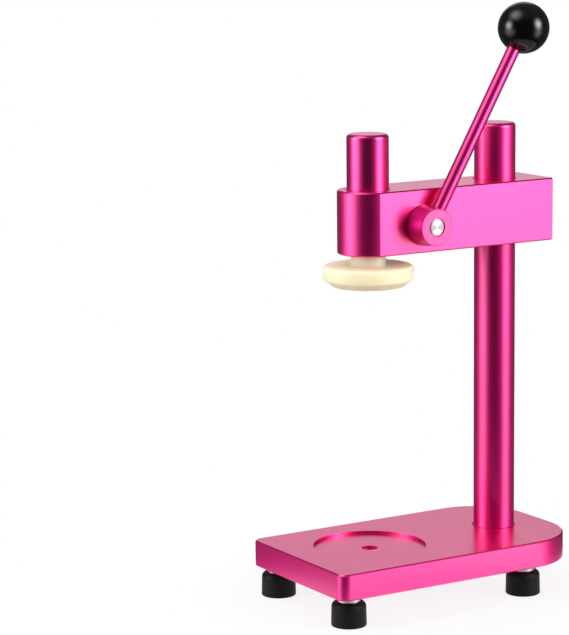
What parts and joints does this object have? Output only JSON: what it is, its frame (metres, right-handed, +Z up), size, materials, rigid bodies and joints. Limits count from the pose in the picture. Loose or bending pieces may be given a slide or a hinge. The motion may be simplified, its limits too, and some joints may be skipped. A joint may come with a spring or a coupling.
{
  "type": "can seamer",
  "caption": "Bench can seamer: hand press with a can seat in its base plate, a height-adjustable arm on a round column, and a rack and pinion ram with a press head, worked by a side lever.",
  "frame": {"origin": "on the bench, under the middle of the base plate", "axes": "+X to the operator's right, where the lever is; +Y away from the operator, towards the column; +Z up"},
  "size_m": [0.102, 0.1772, 0.3567],
  "materials": {
    "pink_anodised": "semi-gloss pink anodised",
    "black_rubber": "matt moulded",
    "bright_steel": "turned and ground",
    "bronze": "machined",
    "black_knob": "polished",
    "cream_nylon": "turned"
  },
  "bodies": {
    "base": {"base_plate": "pink_anodised", "foot_front_right": "black_rubber", "foot_front_left": "black_rubber", "foot_rear_right": "black_rubber", "foot_rear_left": "black_rubber", "foot_washers": "bright_steel", "foot_screws": "bright_steel", "column": "pink_anodised", "column_screw": "bright_steel"},
    "arm": {"arm": "pink_anodised", "clamp_pads": "bronze", "clamp_screws": "bright_steel", "lever_side_bush": "bronze", "far_side_bush": "bronze"},
    "lever": {"pinion_shaft": "bright_steel", "shaft_retaining_ring": "bright_steel", "drive_gear": "bright_steel", "gear_key": "bright_steel", "lever_hub": "pink_anodised", "hub_set_screw": "bright_steel", "lever_rod": "pink_anodised", "ball_knob": "black_knob", "knob_insert": "bronze"},
    "ram": {"ram": "pink_anodised", "rack": "bright_steel", "rack_screws": "bright_steel", "press_head": "cream_nylon", "head_screw": "bright_steel"}
  },
  "joints": [
    {"name": "arm_height", "type": "slide", "parent": "base", "child": "arm", "axis": [0, 0, 1], "range_m": [-0.048, 0.034]},
    {"name": "lever_swing", "type": "hinge", "parent": "arm", "child": "lever", "pos_m": [0.025, -0.0088, 0.2279], "axis": [1, 0, 0], "range_deg": [0, 114.5]},
    {"name": "ram_travel", "type": "slide", "parent": "arm", "child": "ram", "axis": [0, 0, -1], "range_m": [0, 0.033]}
  ],
  "couplings": [
    {"joint": "ram_travel", "follows": "lever_swing", "m_per_rad": 0.0165}
  ]
}
